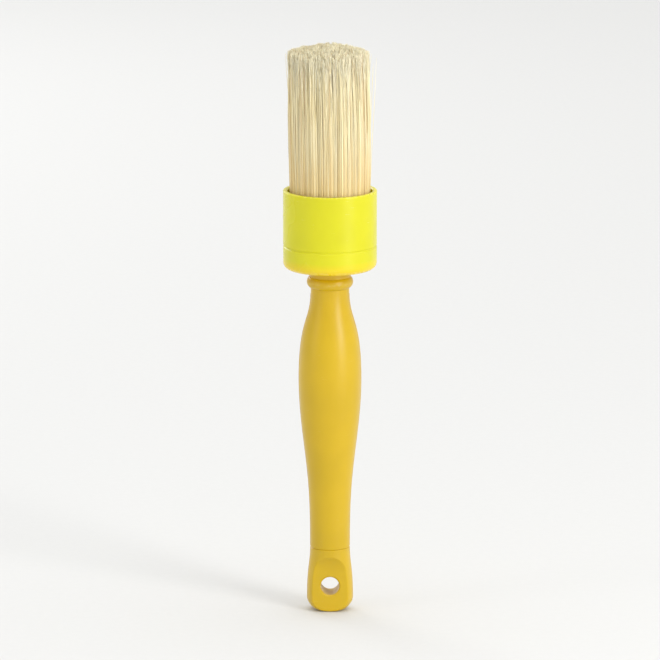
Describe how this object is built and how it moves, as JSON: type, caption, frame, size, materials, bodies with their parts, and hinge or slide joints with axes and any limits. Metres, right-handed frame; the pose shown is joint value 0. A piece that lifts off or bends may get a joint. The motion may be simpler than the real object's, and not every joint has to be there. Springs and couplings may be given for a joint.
{
  "type": "wheel brush",
  "caption": "Round hand brush: long hollow handle with a hanging hole, a cylindrical plastic collar, and a dense tuft of natural bristle set in resin.",
  "frame": {"origin": "centre of the flat end of the handle's tail, on the axis of the brush", "axes": "+Z along the brush from the tail to the bristle tips; the hanging hole runs along Y"},
  "size_m": [0.04, 0.04, 0.246],
  "materials": {
    "yellow_plastic": "satin",
    "collar_plastic": "gloss",
    "core_plastic": "matte",
    "amber_resin": "gloss",
    "binding_wire": "satin",
    "bristle": "satin"
  },
  "bodies": {
    "root": {"handle": "yellow_plastic", "end_plug": "yellow_plastic", "collar": "collar_plastic", "core_plug": "core_plastic", "setting_resin": "amber_resin", "root_binding": "binding_wire", "bristles_outer": "bristle", "bristles_inner": "bristle"}
  },
  "joints": []
}
